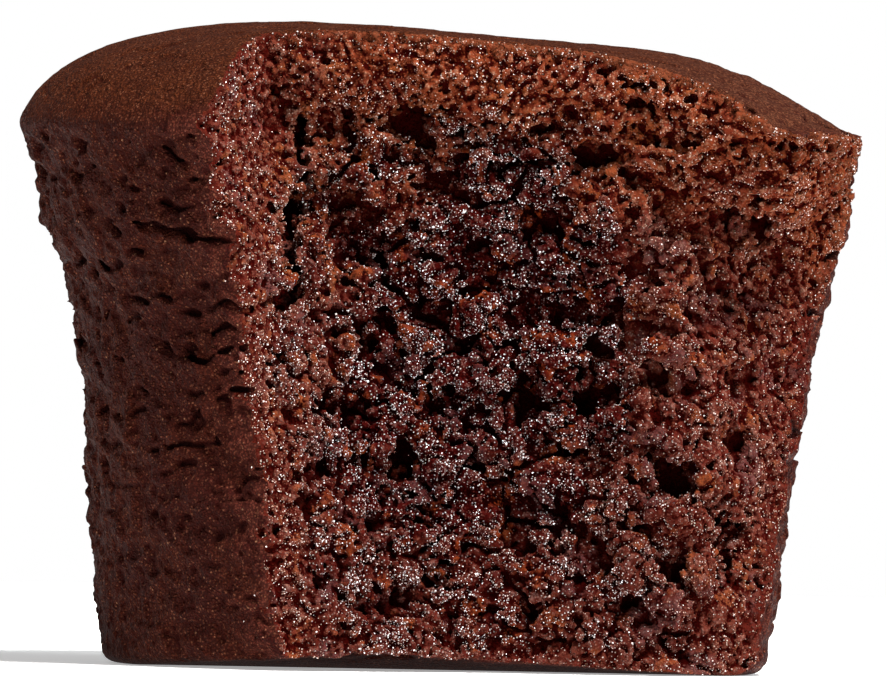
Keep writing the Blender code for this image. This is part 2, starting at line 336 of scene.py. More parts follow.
def skin_relief(at):
    """How far rows of points near the baked skin stand out, below zero in pits and slits."""
    drift = np.stack([soft_noise(at / SKIN_DRIFT_SIZE, 70 + i) for i in range(3)], axis=1)
    bent = at * np.array((1.0, 1.0, SKIN_SQUAT), np.float32) + SKIN_DRIFT * drift
    out = np.zeros(len(at), np.float32)
    for layer, (size, height) in enumerate(LUMPS):
        out += height * soft_noise(bent / size, 20 + layer)
    for layer, (size, height) in enumerate(LEDGES):
        out += height * (smooth_step(-LEDGE_EDGE, LEDGE_EDGE, soft_noise(bent / size, 26 + layer)) - 0.5)
    for layer, (size, depth, start, end) in enumerate(PITS):
        out -= depth * smooth_step(start, end, soft_noise(bent / size, 30 + layer))
    slits = soft_noise((at + SLIT_DRIFT * drift) / np.array(SLIT_SIZE, np.float32), 36)
    out -= SLIT_DEPTH * smooth_step(*SLIT_EDGE, slits) * smooth_step(*SLIT_HEIGHTS, at[:, 2])
    calm = CROWN_CALM + (1.0 - CROWN_CALM) * (1.0 - smooth_step(CROWN_FROM_Z, CROWN_FULL_Z, at[:, 2]))
    calm = np.maximum(calm, RIGHT_CALM * smooth_step(*RIGHT_SIDE, at[:, 0]))
    return np.maximum(out, -DEEPEST_PIT) * calm * smooth_step(*FOOT_HEIGHTS, at[:, 2])


near_skin = np.argwhere((skin > -DEEPEST_PIT - 0.3) & (skin < 0.6) & (crumb < 0.6))
skin[tuple(near_skin.T)] -= skin_relief(places(near_skin))

# The relief of the torn crumb. Near the skin it baked dry and tore fine and granular. In the middle it is
# moist and fudgy, and tore into clumps with dark gaps between. Clumps, pockets, bubbles and grains are
# added to the sheet and taken out of it.
DEEPEST = 3.0
POCKET_HOLLOWS = 9
POCKET_SPREAD = 0.55
POCKET_FRONT = 0.8
POCKET_SINK = 0.3
HOLLOW_SHARES = (0.3, 0.55)
# Pockets torn or baked into the crumb: centre x, centre z, half width, half height, depth
POCKETS = (
    (-5.6, 30.8, 1.2, 1.1, 1.8),
    (-2.0, 30.8, 1.6, 1.2, 2.4),
    (-5.6, 26.6, 1.3, 1.1, 1.6),
    (9.9, 33.2, 1.6, 1.1, 1.6),
    (5.9, 29.6, 1.8, 1.0, 1.8),
    (9.4, 28.8, 1.8, 1.2, 2.0),
    (13.1, 24.2, 2.5, 1.8, 2.4),
    (7.9, 20.8, 1.6, 1.0, 1.7),
    (11.9, 18.6, 1.2, 1.6, 2.0),
    (8.4, 16.8, 1.7, 1.5, 2.6),
    (6.0, 15.6, 2.1, 1.0, 2.0),
    (-0.7, 16.2, 1.7, 1.1, 1.8),
    (-1.4, 11.6, 1.7, 1.0, 2.2),
    (-4.4, 12.4, 1.8, 1.0, 1.7),
    (12.9, 11.4, 1.9, 1.3, 2.6),
    (-1.1, 8.0, 2.2, 1.0, 1.8),
    (5.6, 7.4, 1.4, 1.0, 1.6),
    (12.5, 6.4, 2.0, 1.1, 2.0),
    (-3.2, 3.5, 2.8, 0.9, 1.7),
    (-9.1, 20.5, 0.9, 0.5, 1.6),
    (-11.2, 19.9, 0.9, 0.35, 1.0),
    (-10.9, 15.2, 1.0, 0.4, 1.2),
    (-9.9, 12.0, 0.7, 0.6, 1.0),
    (-11.0, 9.8, 0.4, 0.7, 1.0),
    (-9.2, 7.8, 0.8, 0.7, 1.6),
    (-12.3, 25.7, 1.3, 0.4, 1.4),
    (-12.4, 30.5, 0.7, 0.45, 1.0),
    (13.2, 4.6, 0.4, 1.7, 2.0),
)
# The crevice between the dry ridge and the moist middle: x and z along it
CREVICE = ((-8.1, 31.0), (-8.0, 27.5), (-8.6, 26.3), (-8.7, 24.6), (-8.3, 22.6), (-8.9, 20.6))
CREVICE_HALF_WIDTH = 0.42
CREVICE_HALF_HEIGHT = 0.5
CREVICE_DEPTH = 2.8
CREVICE_INWARD = (0.5, 1.3)
CREVICE_STEP = 0.3
CREVICE_WANDER = 0.08
MOIST_CENTRE = (2.0, 17.6)
MOIST_REACH = (11.2, 14.0)
MOIST_BORDER = (0.55, 1.15)
# How the border of the moist crumb wanders: size of the waves and how far they reach
MOIST_WANDER = ((2.4, 0.35), (0.9, 0.2))
MOIST_DEPTHS = (0.8, 3.5)
LOW_MOISTURE = 0.75
LOW_HEIGHTS = (19.0, 9.0)
LOW_PATCHES = (-0.6, 0.2)
LOW_SIDE = (-11.0, -7.0)
SOFT_BASE = 1.4
RIDGE_SIDE = (-11.0, -7.5)
# How coarse the dry crumb tore, and what the moist middle, the right and the ridge add or take away
DRY_COARSENESS = 0.3
MOIST_COARSENESS = 0.7
RIGHT_COARSENESS = 0.5
RIDGE_FINENESS = 0.2
COARSE_SIDE = (6.0, 12.0)
# Shares of the relief: the least, and where it begins to rise and is full
COARSE_DEPTHS = (0.3, 0.2, 3.0)
GRANULAR_HEIGHTS = (0.45, 10.0, 22.0)
CALM_DEPTHS = (0.35, 1.0, 4.5)
MOIST_SMOOTHNESS = 0.4
RIDGE_SMOOTHNESS = 0.6
RIDGE_SOUNDNESS = 0.7
CRUMB_SQUAT = 1.2
CRUMB_DRIFT_SIZE = 1.7
# Waves of the crumb: size, height
CRUMB_WAVES = ((2.2, 1.3), (1.0, 0.6))
CLUMP_SIZE = 2.7
CLUMP_DRIFT = 1.1
CLUMP_GAP = 1.4
CLUMP_GAP_WIDTH = 0.2
CLUMP_PATCH_SIZE = 2.4
CLUMP_PATCHES = (-0.35, 0.25)
DRY_CLUMPS = 0.15
MOIST_CLUMPS = 0.85
LUMP_SIZE = 1.3
LUMP_DRIFT = 0.45
LUMP_GAP = 0.55
LUMP_GAP_WIDTH = 0.25
LUMP_BULGE = 0.6
LUMP_CLEFT = 0.8
GRANULE_SIZE = 0.6
GRANULE_GAP = 0.3
GRANULE_GAP_WIDTH = 0.3
GRANULE_BULGE = 0.7
GRANULE_PATCH_SIZE = 1.3
GRANULE_PATCHES = (-0.3, 0.3)
GRANULE_CLEFTS = (0.2, 0.6)
VOID_SIZE = 0.8
VOID_DEPTH = 0.65
VOID_EDGE = (0.34, 0.62)
# Bubbles and grains: how many, and the smallest's half width with what the largest adds to it
BUBBLES = 500
BUBBLE_SIZES = (0.16, 0.4)
GRAINS = 22000
GRAIN_SIZES = (0.11, 0.13)
FINE_HEIGHT = 0.03
random = np.random.default_rng(7)


def take_out(field, centre, radii, add=False):
    """Takes an egg of material out of the field, or adds one."""
    radii = np.asarray(radii, np.float32)
    reach = radii.max() + 2.0 * CUBE
    low = np.maximum(np.floor((centre - reach) / CUBE).astype(int) - first_cube, 0)
    high = np.minimum(np.ceil((centre + reach) / CUBE).astype(int) - first_cube + 1, field_size)
    if np.any(high <= low):
        return
    across = (axis_x[low[0]:high[0]] - centre[0])[:, None, None] / radii[0]
    along = (axis_y[low[1]:high[1]] - centre[1])[None, :, None] / radii[1]
    up = (axis_z[low[2]:high[2]] - centre[2])[None, None, :] / radii[2]
    egg = (1.0 - np.sqrt(across * across + along * along + up * up)) * radii.min()
    part = field[low[0]:high[0], low[1]:high[1], low[2]:high[2]]
    if add:
        np.minimum(part, -egg, out=part)
    else:
        np.maximum(part, egg, out=part)


def depth_in_cake(at):
    """How far rows of points lie under the skin, where the base baked least and so counts as deeper."""
    to_wall = wall_radius(at[:, 2]) - np.hypot(at[:, 0], at[:, 1])
    to_crown = RIM_HEIGHT + crown_rise(at[:, 0], at[:, 1]) - at[:, 2]
    return np.minimum(np.minimum(to_wall, to_crown), at[:, 2] + SOFT_BASE)


def cell_gaps(at, seed, gap_width):
    """Cells round centres strewn one to a unit cube: distance to the nearest, and 1 in the gaps between."""
    centres = np.random.default_rng(seed).random((LATTICE,) * 3 + (3,), np.float32)
    cell = np.floor(at).astype(np.int32)
    nearest = np.full(len(at), 9.0, np.float32)
    next_nearest = nearest.copy()
    for step in np.ndindex(3, 3, 3):
        corner = cell + step - 1
        index = corner % LATTICE
        away = corner + centres[index[:, 0], index[:, 1], index[:, 2]] - at
        distance = np.sqrt((away * away).sum(1)).astype(np.float32)
        next_nearest = np.minimum(next_nearest, np.maximum(nearest, distance))
        nearest = np.minimum(nearest, distance)
    return nearest, 1.0 - smooth_step(0.0, gap_width, next_nearest - nearest)


def moisture(at):
    """0 in the dry crumb near the skin, 1 in the moist middle, with a wandering border."""
    wander = np.zeros(len(at), np.float32)
    for layer, (size, reach) in enumerate(MOIST_WANDER):
        wander += reach * soft_noise(at / size, 3 + layer)
    across = (at[:, 0] - MOIST_CENTRE[0]) / MOIST_REACH[0]
    up = (at[:, 2] - MOIST_CENTRE[1]) / MOIST_REACH[1]
    middle = 1.0 - smooth_step(*MOIST_BORDER, np.hypot(across, up) + wander)
    low = LOW_MOISTURE * smooth_step(*LOW_HEIGHTS, at[:, 2]) * smooth_step(*LOW_PATCHES, wander)
    low *= smooth_step(*LOW_SIDE, at[:, 0])
    return np.maximum(middle, low) * smooth_step(*MOIST_DEPTHS, depth_in_cake(at))


def on_sheet(x, z, inward):
    """The point that far behind the tear's broad sheet, over the point x, z."""
    column = round((x - axis_x[0]) / CUBE)
    row = round((z - axis_z[0]) / CUBE)
    return np.array((x, sheet[column, row] + inward, z))


for centre_x, centre_z, half_width, half_height, depth in POCKETS:
    for i in range(POCKET_HOLLOWS):
        x = centre_x + random.normal(0.0, POCKET_SPREAD * half_width)
        z = centre_z + random.normal(0.0, POCKET_SPREAD * half_height)
        centre = on_sheet(x, z, random.uniform(-POCKET_FRONT, POCKET_SINK * depth))
        size = random.uniform(*HOLLOW_SHARES)
        take_out(crumb, centre, (size * half_width, 0.5 * depth, size * half_height))
for (start_x, start_z), (end_x, end_z) in zip(CREVICE, CREVICE[1:]):
    steps = max(2, round(math.hypot(end_x - start_x, end_z - start_z) / CREVICE_STEP))
    for i in range(steps):
        x = start_x + (end_x - start_x) * i / steps + random.normal(0.0, CREVICE_WANDER)
        z = start_z + (end_z - start_z) * i / steps
        wide = CREVICE_HALF_WIDTH * random.uniform(0.7, 1.5)
        centre = on_sheet(x, z, random.uniform(*CREVICE_INWARD))
        take_out(crumb, centre, (wide, CREVICE_DEPTH, CREVICE_HALF_HEIGHT))

near_tear = np.argwhere((crumb > -DEEPEST - 0.4) & (crumb < 2.2) & (skin < 0.4))
at_tear = places(near_tear)
moist = moisture(at_tear)
ridge = 1.0 - smooth_step(*RIDGE_SIDE, at_tear[:, 0])
coarse = DRY_COARSENESS + MOIST_COARSENESS * moist
coarse = coarse + RIGHT_COARSENESS * smooth_step(*COARSE_SIDE, at_tear[:, 0]) - RIDGE_FINENESS * ridge
coarse = np.clip(coarse, 0.0, 1.0) * rising(*COARSE_DEPTHS, depth_in_cake(at_tear))
squat = at_tear * np.array((1.0, 1.0, CRUMB_SQUAT), np.float32)
shape = np.zeros(len(at_tear), np.float32)
for layer, (size, height) in enumerate(CRUMB_WAVES):
    shape += height * soft_noise(squat / size, 40 + layer) * coarse
drift = np.stack([soft_noise(squat / CRUMB_DRIFT_SIZE, 50 + i) for i in range(3)], axis=1)
nearest, gap = cell_gaps((squat + CLUMP_DRIFT * drift) / CLUMP_SIZE, 60, CLUMP_GAP_WIDTH)
patchy = smooth_step(*CLUMP_PATCHES, soft_noise(squat / CLUMP_PATCH_SIZE, 61))
shape += CLUMP_GAP * (DRY_CLUMPS * coarse + MOIST_CLUMPS * moist) * patchy * gap
crumb[tuple(near_tear.T)] += np.minimum(shape, DEEPEST)

close_by = np.abs(crumb[tuple(near_tear.T)]) < 1.0
near_tear, squat, drift, coarse, ridge = [one[close_by] for one in (near_tear, squat, drift, coarse, ridge)]
at_tear = at_tear[close_by]
granular = rising(*GRANULAR_HEIGHTS, at_tear[:, 2])
granular *= 1.0 - MOIST_SMOOTHNESS * moist[close_by]
calm_edge = rising(*CALM_DEPTHS, depth_in_cake(at_tear))
bent = squat + LUMP_DRIFT * drift
nearest, gap = cell_gaps(bent / LUMP_SIZE, 62, LUMP_GAP_WIDTH)
shape = LUMP_GAP * coarse * (LUMP_BULGE * nearest - 0.5 * LUMP_BULGE + LUMP_CLEFT * gap)
nearest, gap = cell_gaps(bent / GRANULE_SIZE, 63, GRANULE_GAP_WIDTH)
patchy = smooth_step(*GRANULE_PATCHES, soft_noise(squat / GRANULE_PATCH_SIZE, 65))
gap *= GRANULE_CLEFTS[0] + GRANULE_CLEFTS[1] * patchy
bulging = GRANULE_BULGE * nearest - 0.5 * GRANULE_BULGE + gap
shape += GRANULE_GAP * granular * (1.0 - RIDGE_SMOOTHNESS * ridge) * bulging
voids = smooth_step(*VOID_EDGE, soft_noise(bent / VOID_SIZE, 64))
shape += VOID_DEPTH * granular * calm_edge * voids * (1.0 - RIDGE_SOUNDNESS * ridge)
crumb[tuple(near_tear.T)] += shape


def torn_surface():
    return np.argwhere((np.abs(crumb) < 0.8 * CUBE) & (skin < 0.1))


surface = torn_surface()
for pick in surface[random.integers(0, len(surface), BUBBLES)]:
    size = BUBBLE_SIZES[0] + BUBBLE_SIZES[1] * random.random() ** 3
    centre = places(pick) + random.normal(0.0, 0.15, 3)
    take_out(crumb, centre, (size * random.uniform(1.0, 1.7), size * 1.2, size * random.uniform(0.7, 1.0)))
surface = torn_surface()
for pick in surface[random.integers(0, len(surface), GRAINS)]:
    size = GRAIN_SIZES[0] + GRAIN_SIZES[1] * random.random() ** 2
    centre = places(pick) + random.normal(0.0, 0.05, 3)
    take_out(crumb, centre, size * random.uniform(0.8, 1.3, 3), add=True)
rough = np.abs(crumb) < 2.0 * CUBE
crumb[rough] += random.normal(0.0, FINE_HEIGHT, np.count_nonzero(rough)).astype(np.float32)

# The cake as one body. The torn field is cut from the baked one, meshed, and thinned where the skin is
# plain. Its pieces are then told apart by what they are, skin or crumb, and share the points along their
# borders.
SKIN_TRIANGLES = 188000
TORN_MARGIN = 0.02
SMALL_HOLLOW_REACH = 2
HOLLOW_REACH = 5
WIDE_HOLLOW_REACH = 14
BROWNED_DEPTHS = (13.0, 4.0)
BROWNED_SIDE = (-12.0, -3.0)
BROWNED_WANDER = 2.5
BROWNED_WAVES = 2.1
RIM_TURN = (-1.2, 1.2)
CROWN_RIGHT_SIDE = (6.0, 19.0)
THIN_CRUST_AT_BASE = 0.6 * SOFT_BASE
THIN_CRUST_HEIGHTS = (3.0, 1.0)

body = np.maximum(crumb, skin)
grid = openvdb.FloatGrid()
grid.background = FIELD_REACH * CUBE
grid.transform = openvdb.createLinearTransform(CUBE)
grid.copyFromArray(body, ijk=tuple(int(cube) for cube in first_cube))
points, squares = grid.convertToQuads(0.0)


def sample(field, at):
    """The field's value at rows of points, read between its cubes."""
    place = at / CUBE - first_cube
    corner = np.clip(np.floor(place).astype(np.int32), 0, field_size - 2)
    share = place - corner
    total = np.zeros(len(at))
    for step in np.ndindex(2, 2, 2):
        weight = np.prod(np.where(step, share, 1.0 - share), axis=1)
        index = corner + step
        total += weight * field[index[:, 0], index[:, 1], index[:, 2]]
    return total


def placed(name, data):
    """A new object of that data, in the scene."""
    made = bpy.data.objects.new(name, data)
    bpy.context.scene.collection.objects.link(made)
    return made


whole = bpy.data.meshes.new("whole_cake")
whole.from_pydata(points, [], squares[:, ::-1])
whole_cake = placed("whole_cake", whole)
torn = sample(crumb, points) > sample(skin, points) - TORN_MARGIN
keep = whole_cake.vertex_groups.new(name="torn")
keep.add(np.flatnonzero(torn).tolist(), 1.0, "REPLACE")
thin = whole_cake.modifiers.new("Thin", "DECIMATE")
thin.vertex_group = keep.name
thin.invert_vertex_group = True
thin.vertex_group_factor = 1000.0
thin.ratio = torn.mean() + SKIN_TRIANGLES / (2.0 * len(squares))
bpy.context.view_layer.update()
thinned = bpy.data.meshes.new_from_object(whole_cake.evaluated_get(bpy.context.evaluated_depsgraph_get()))
bpy.data.objects.remove(whole_cake)
thinned.update(calc_edges=True)


def read_out(rows, what, width, kind=np.float32):
    """What the mesh holds for each of its points, edges or faces."""
    values = np.empty(len(rows) * width, kind)
    rows.foreach_get(what, values)
    return values.reshape(-1, width)


cake_points = read_out(thinned.vertices, "co", 3)
edge_ends = read_out(thinned.edges, "vertices", 2, np.int32)
body_of = np.arange(len(cake_points))
while True:
    before = body_of.copy()
    lowest = body_of[edge_ends].min(1)
    np.minimum.at(body_of, edge_ends[:, 0], lowest)
    np.minimum.at(body_of, edge_ends[:, 1], lowest)
    body_of = body_of[body_of]
    if np.array_equal(before, body_of):
        break
cake_body = np.bincount(body_of).argmax()

face_points = [tuple(face.vertices) for face in thinned.polygons]
centres = read_out(thinned.polygons, "center", 3)
facing = read_out(thinned.polygons, "normal", 3)
first_points = np.array([face[0] for face in face_points])
whole_faces = body_of[first_points] == cake_body
under_tear = -sample(crumb, centres)
torn_faces = under_tear < TORN_MARGIN - sample(skin, centres)
face_moisture = moisture(centres)
solid_share = np.clip(0.5 - body / CUBE, 0.0, 1.0).astype(np.float32)
small_hollow_field = around(solid_share, SMALL_HOLLOW_REACH)
hollow_field = around(solid_share, HOLLOW_REACH)
wide_hollow_field = around(solid_share, WIDE_HOLLOW_REACH)


def under_crown(at):
    """1 just under the crown and 0 deep below it and at the left, where the crumb browned less."""
    depth = RIM_HEIGHT + crown_rise(at[:, 0], at[:, 1]) - at[:, 2]
    depth = depth + BROWNED_WANDER * soft_noise(at / BROWNED_WAVES, 5)
    return smooth_step(*BROWNED_DEPTHS, depth) * smooth_step(*BROWNED_SIDE, at[:, 0])


def on_crown(at):
    """0 on the wall, 1 on the crown, with a soft turn over the rim."""
    to_wall = wall_radius(at[:, 2]) - np.hypot(at[:, 0], at[:, 1])
    to_crown = RIM_HEIGHT + crown_rise(at[:, 0], at[:, 1]) - at[:, 2]
    return smooth_step(*RIM_TURN, to_wall - to_crown)


def dressing(name, at, faces, marks):
    """A new object in the frame's metres that stands for the cake, with the marks its material reads."""
    mesh = bpy.data.meshes.new(name)
    mesh.from_pydata((at + np.array(CAKE_SHIFT)) * MM, [], faces)
    for mark, values in marks.items():
        mesh.attributes.new(mark, "FLOAT", "POINT").data.foreach_set("value", values.astype(np.float32))
    made = placed(name, mesh)
    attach(made, "root")
    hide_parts("brownie")
    return made


def piece(name, chosen):
    """A new object of the chosen faces."""
    chosen = np.flatnonzero(chosen & whole_faces)
    corners = [face_points[i] for i in chosen]
    used, place = np.unique(np.concatenate(corners), return_inverse=True)
    sides = np.array([len(face) for face in corners])
    starts = np.concatenate(([0], np.cumsum(sides)[:-1]))
    faces = [place[start:start + count].tolist() for start, count in zip(starts, sides)]
    at = cake_points[used]
    thinner = THIN_CRUST_AT_BASE * smooth_step(*THIN_CRUST_HEIGHTS, at[:, 2])
    marks = {
        "small_hollow": sample(small_hollow_field, at),
        "hollow": sample(hollow_field, at),
        "wide_hollow": sample(wide_hollow_field, at),
        "from_tear": -sample(crumb, at),
        "from_skin": thinner - sample(skin, at),
        "moist": moisture(at),
        "on_crown": on_crown(at),
        "crown_right": on_crown(at) * smooth_step(*CROWN_RIGHT_SIDE, at[:, 0]),
        "under_crown": under_crown(at),
    }
    made = dressing(name, at, faces, marks)
    made.data.shade_smooth()
    return made


# The baked skin: the wall that set against the cup and the crown that dried in the oven, one thin dark crust
# over the same cake. It is matte, and reddish and mottled along the tear. Painted shade darkens its dimples,
# its pits to near black, and the cracks between its granules, and painted light lies on the tops of some
# granules.
WALL_BROWN = (0.062, 0.0112, 0.0054)
WALL_DULL_BROWN = (0.046, 0.0082, 0.0054)
WALL_SPOTS = (0.026, 0.0038, 0.0024)
CROWN_BROWN = (0.096, 0.0225, 0.0070)
CROWN_DULL_BROWN = (0.076, 0.0170, 0.0052)
CROWN_SPOTS = (0.036, 0.0080, 0.0036)
CROWN_RIGHT_TAN = (0.140, 0.046, 0.023)
CROWN_RIGHT_SPOTS = (0.062, 0.0120, 0.0060)
FRINGE_RED = (0.120, 0.0270, 0.0170)
FRINGE_DARK = (0.040, 0.0046, 0.0036)
# Painted shade in the cracks between granules, and painted light on the tops of some of them
PAINTED_SHADE_BETWEEN_GRAINS = (0.012, 0.0018, 0.0012)
PAINTED_LIGHT_ON_GRAINS = (0.190, 0.0680, 0.0360)
TAN_SPECKS = (0.22, 0.10, 0.055)
# Painted shade: the colours that dimples and pits darken to
PAINTED_SHADE_IN_DIMPLES = (0.022, 0.0026, 0.0016, 1.0)
PAINTED_SHADE_IN_PITS = (0.010, 0.0009, 0.0006, 1.0)
# Mottling: waves to a millimetre, their detail, and where in the waves the mask begins and is full
SKIN_PATCHES = (0.28, 4.0, 0.42, 0.62)
SMALL_PATCHES = (1.1, 4.0, 0.42, 0.64)
FINE_MOTTLING = (6.0, 1.0, 0.35, 0.65)
RUDDY_CROWN = (2.2, 4.0, 0.44, 0.6)
RAGGED_FRINGE = (0.9, 4.0, 0.2, 0.8)
SKIN_SHEEN = {"Roughness": 0.6, "Specular IOR Level": 0.03}


def new_material(name, sheen):
    """A new material with the shader's plain values set, its tree and its shader."""
    material = bpy.data.materials.new(name)
    material.use_nodes = True
    shader = material.node_tree.nodes["Principled BSDF"]
    for socket, value in sheen.items():
        shader.inputs[socket].default_value = value
    return material, material.node_tree, shader


def add_node(tree, kind, inputs=None, **settings):
    """A new node with its settings, and its inputs set or linked."""
    made = tree.nodes.new("ShaderNode" + kind)
    for name, value in settings.items():
        setattr(made, name, value)
    for socket, value in (inputs or {}).items():
        if isinstance(value, bpy.types.NodeSocket):
            tree.links.new(value, made.inputs[socket])
        else:
            made.inputs[socket].default_value = value
    return made


def mark_value(tree, name):
    return add_node(tree, "Attribute", attribute_name=name).outputs["Fac"]


def between(tree, value, low, high):
    """A mask that goes smoothly from 0 at low to 1 at high."""
    ramp = add_node(
        tree, "MapRange", {"Value": value, "From Min": low, "From Max": high},
        interpolation_type="SMOOTHSTEP",
    )
    return ramp.outputs["Result"]


def combine(tree, operation, first, second):
    return add_node(tree, "Math", {0: first, 1: second}, operation=operation).outputs[0]


def product(tree, first, *others):
    for other in others:
        first = combine(tree, "MULTIPLY", first, other)
    return first


def blend_colours(tree, share, first, second):
    mix = add_node(tree, "Mix", {"Factor": share}, data_type="RGBA")
    for socket, value in (("A_Color", first), ("B_Color", second)):
        target = next(one for one in mix.inputs if one.identifier == socket)
        if isinstance(value, bpy.types.NodeSocket):
            tree.links.new(value, target)
        else:
            target.default_value = (*value, 1.0)
    return next(one for one in mix.outputs if one.identifier == "Result_Color")


def effect(name, inputs, outputs):
    """An empty group of shader nodes: its tree, what comes in and what goes out."""
    tree = bpy.data.node_groups.new(name, "ShaderNodeTree")
    for way, sockets in (("INPUT", inputs), ("OUTPUT", outputs)):
        for socket, kind in sockets.items():
            tree.interface.new_socket(socket, in_out=way, socket_type="NodeSocket" + kind)
    return tree, tree.nodes.new("NodeGroupInput").outputs, tree.nodes.new("NodeGroupOutput").inputs


def use_effect(tree, group, inputs):
    return add_node(tree, "Group", inputs, node_tree=group).outputs


def mottling_effect():
    """Soft patches of uneven browning, 1 where the noise passes High."""
    tree, given, out = effect(
        "mottling",
        {"Place": "Vector", "Per Metre": "Float", "Detail": "Float", "Low": "Float", "High": "Float"},
        {"Mask": "Float"},
    )
    waves = add_node(
        tree, "TexNoise",
        {"Vector": given["Place"], "Scale": given["Per Metre"], "Detail": given["Detail"]},
    )
    tree.links.new(between(tree, waves.outputs["Fac"], given["Low"], given["High"]), out["Mask"])
    return tree


def granules_effect():
    """Packed granules: how high each stands, and a random tone that is even over each one."""
    tree, given, out = effect(
        "granules", {"Place": "Vector", "Per Metre": "Float"}, {"Height": "Float", "Tone": "Float"}
    )
    cells = add_node(
        tree, "TexVoronoi", {"Vector": given["Place"], "Scale": given["Per Metre"]}, feature="F1"
    )
    apart = add_node(tree, "SeparateColor", {"Color": cells.outputs["Color"]})
    tree.links.new(between(tree, cells.outputs["Distance"], 0.66, 0.16), out["Height"])
    tree.links.new(apart.outputs["Green"], out["Tone"])
    return tree


def specks_effect():
    """Small round specks, one to a granule, of which only a share of the granules have one."""
    tree, given, out = effect(
        "specks",
        {"Place": "Vector", "Per Metre": "Float", "Size": "Float", "Share": "Float"},
        {"Mask": "Float"},
    )
    cells = add_node(
        tree, "TexVoronoi", {"Vector": given["Place"], "Scale": given["Per Metre"]}, feature="F1"
    )
    dot = between(tree, cells.outputs["Distance"], given["Size"], product(tree, given["Size"], 0.5))
    apart = add_node(tree, "SeparateColor", {"Color": cells.outputs["Color"]})
    chosen = combine(tree, "LESS_THAN", apart.outputs["Red"], given["Share"])
    tree.links.new(product(tree, dot, chosen), out["Mask"])
    return tree


def deep_shade_effect():
    """Painted shade: colour going over to a darker one where the surface lies in a hollow."""
    tree, given, out = effect(
        "deep_shade",
        {"Color": "Color", "Shade": "Color", "Hollow": "Float", "Open": "Float", "Closed": "Float"},
        {"Color": "Color"},
    )
    closed = between(tree, given["Hollow"], given["Open"], given["Closed"])
    tree.links.new(blend_colours(tree, closed, given["Color"], given["Shade"]), out["Color"])
    return tree


mottling = mottling_effect()
granules = granules_effect()
specks = specks_effect()
deep_shade = deep_shade_effect()


def mottled(tree, where, waves, detail, low, high):
    """The mask of the mottling, with that many waves to a millimetre."""
    values = {"Place": where, "Per Metre": waves / MM, "Detail": detail, "Low": low, "High": high}
    return use_effect(tree, mottling, values)["Mask"]


def shaded(tree, colour, shade, mark, open_air, closed):
    """The colour going over to a painted shade where that mark says the surface lies in a hollow."""
    values = {"Color": colour, "Shade": shade, "Hollow": mark_value(tree, mark), "Open": open_air}
    return use_effect(tree, deep_shade, {**values, "Closed": closed})["Color"]


def skin_material():
    material, tree, shader = new_material("baked_skin", SKIN_SHEEN)
    where = add_node(tree, "TexCoord").outputs["Object"]
    crown_side = mark_value(tree, "on_crown")
    patches = mottled(tree, where, *SKIN_PATCHES)
    small_patches = mottled(tree, where, *SMALL_PATCHES)
    fine = mottled(tree, where, *FINE_MOTTLING)
    grain = use_effect(tree, granules, {"Place": where, "Per Metre": 6.5 / MM})
    wall = blend_colours(tree, patches, WALL_BROWN, WALL_DULL_BROWN)
    wall = blend_colours(tree, product(tree, small_patches, 0.55), wall, WALL_SPOTS)
    crown = blend_colours(tree, patches, CROWN_BROWN, CROWN_DULL_BROWN)
    crown = blend_colours(tree, product(tree, small_patches, 0.3), crown, CROWN_SPOTS)
    crown_right = mark_value(tree, "crown_right")
    crown = blend_colours(tree, product(tree, crown_right, 0.8), crown, CROWN_RIGHT_TAN)
    ruddy = product(tree, mottled(tree, where, *RUDDY_CROWN), crown_right, 0.75)
    crown = blend_colours(tree, ruddy, crown, CROWN_RIGHT_SPOTS)
    colour = blend_colours(tree, crown_side, wall, crown)
    ragged = mottled(tree, where, *RAGGED_FRINGE)
    from_tear = combine(tree, "ADD", mark_value(tree, "from_tear"), product(tree, ragged, 1.6))
    fringe = product(tree, between(tree, from_tear, 3.2, 0.8), combine(tree, "SUBTRACT", 1.0, crown_side))
    fringe_colour = blend_colours(tree, small_patches, FRINGE_RED, FRINGE_DARK)
    colour = blend_colours(tree, fringe, colour, fringe_colour)
    # Painted shade in the cracks between granules
    dull = product(tree, combine(tree, "SUBTRACT", 1.0, grain["Height"]), 0.72)
    colour = blend_colours(tree, dull, colour, PAINTED_SHADE_BETWEEN_GRAINS)
    # Painted light on the tops of granules whose random tone is high
    painted_top_light = product(tree, grain["Height"], between(tree, grain["Tone"], 0.5, 0.95), fine, 0.8)
    colour = blend_colours(tree, painted_top_light, colour, PAINTED_LIGHT_ON_GRAINS)
    # Painted shade: darker in dimples and near black in pits, by how much cake lies round each point
    colour = shaded(tree, colour, PAINTED_SHADE_IN_DIMPLES, "small_hollow", 0.50, 0.66)
    colour = shaded(tree, colour, PAINTED_SHADE_IN_PITS, "hollow", 0.55, 0.74)
    values = {"Place": where, "Per Metre": 2.4 / MM, "Size": 0.2, "Share": 0.08}
    tan = use_effect(tree, specks, values)["Mask"]
    colour = blend_colours(tree, tan, colour, TAN_SPECKS)
    tree.links.new(colour, shader.inputs["Base Color"])
    bumps = add_node(tree, "TexNoise", {"Vector": where, "Scale": 2.4 / MM, "Detail": 5.0})
    height = combine(tree, "ADD", bumps.outputs["Fac"], product(tree, grain["Height"], 0.14))
    bump = add_node(tree, "Bump", {"Height": height, "Strength": 1.0, "Distance": 0.48 * MM})
    tree.links.new(bump.outputs["Normal"], shader.inputs["Normal"])
    return material


baked_skin = piece("baked_skin", ~torn_faces)
baked_skin.data.materials.append(skin_material())


# The torn crumb: cocoa cake, dry and granular near the skin, and dark and sticky in the middle, where it
# baked least. Painted shade, near black in the middle, lies in the gaps between its clumps, and painted
# light, painted glow and painted glints lie on their tops. It is one surface, in pieces small enough to
# handle.
RIDGE_SIDE_X = 2.0
RIGHT_HALF_Z = 20.0
MOIST_HALF_Z = 15.0
